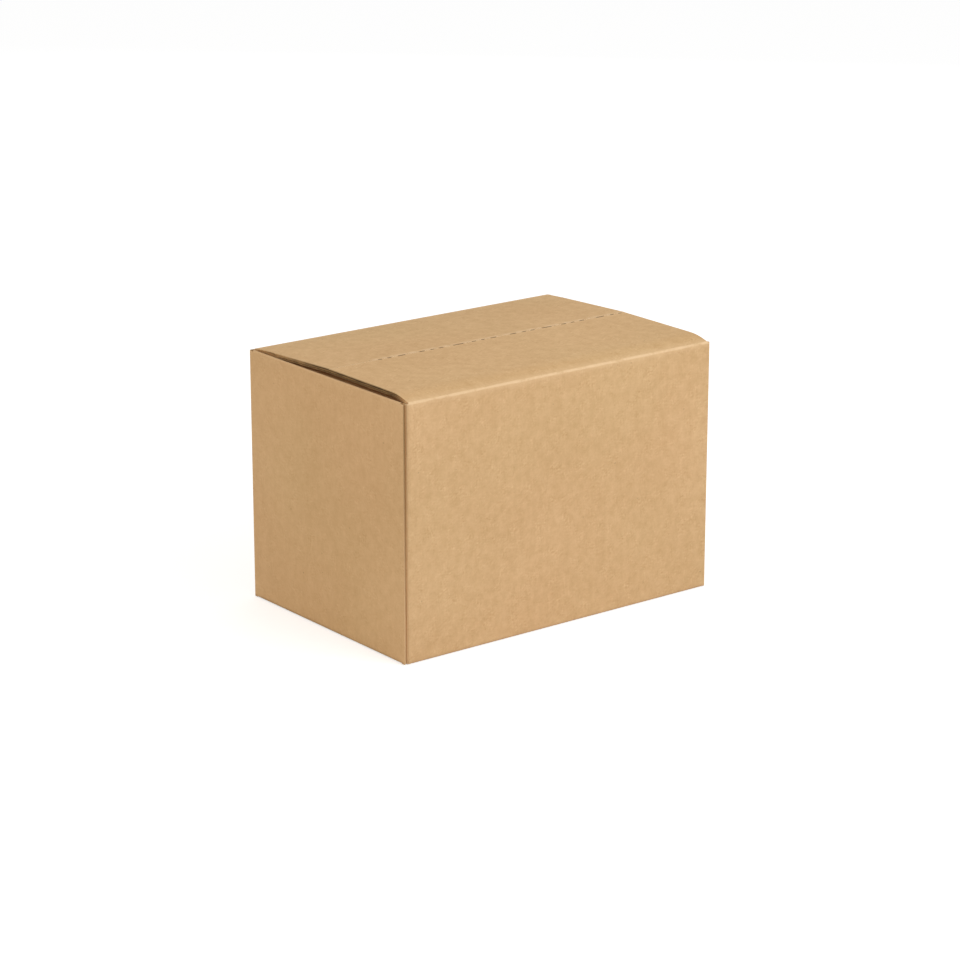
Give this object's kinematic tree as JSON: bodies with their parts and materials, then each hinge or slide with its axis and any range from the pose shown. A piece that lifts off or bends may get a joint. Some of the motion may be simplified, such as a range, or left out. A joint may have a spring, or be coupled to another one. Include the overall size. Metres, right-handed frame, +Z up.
{
  "type": "cardboard box",
  "caption": "Closed corrugated cardboard shipping box, folded and glued from a slotted blank, with outer top flaps that swing open on their creases.",
  "frame": {"origin": "middle of the box's underside, on the floor", "axes": "+X along the length, from the glued-corner end to the other end; +Y from the front long panel to the rear one; +Z up through the seam of the top flaps"},
  "size_m": [0.306, 0.206, 0.2115],
  "materials": {
    "kraft_board": "matt brown kraft liner on corrugated board"
  },
  "bodies": {
    "box": {"carton_body": "kraft_board"},
    "front_flap": {"front_top_flap": "kraft_board"},
    "rear_flap": {"rear_top_flap": "kraft_board"}
  },
  "joints": [
    {"name": "front_crease", "type": "hinge", "parent": "box", "child": "front_flap", "pos_m": [0, -0.103, 0.207], "axis": [1, 0, 0], "range_deg": [0, 250]},
    {"name": "rear_crease", "type": "hinge", "parent": "box", "child": "rear_flap", "pos_m": [0, 0.103, 0.207], "axis": [-1, 0, 0], "range_deg": [0, 250]}
  ]
}
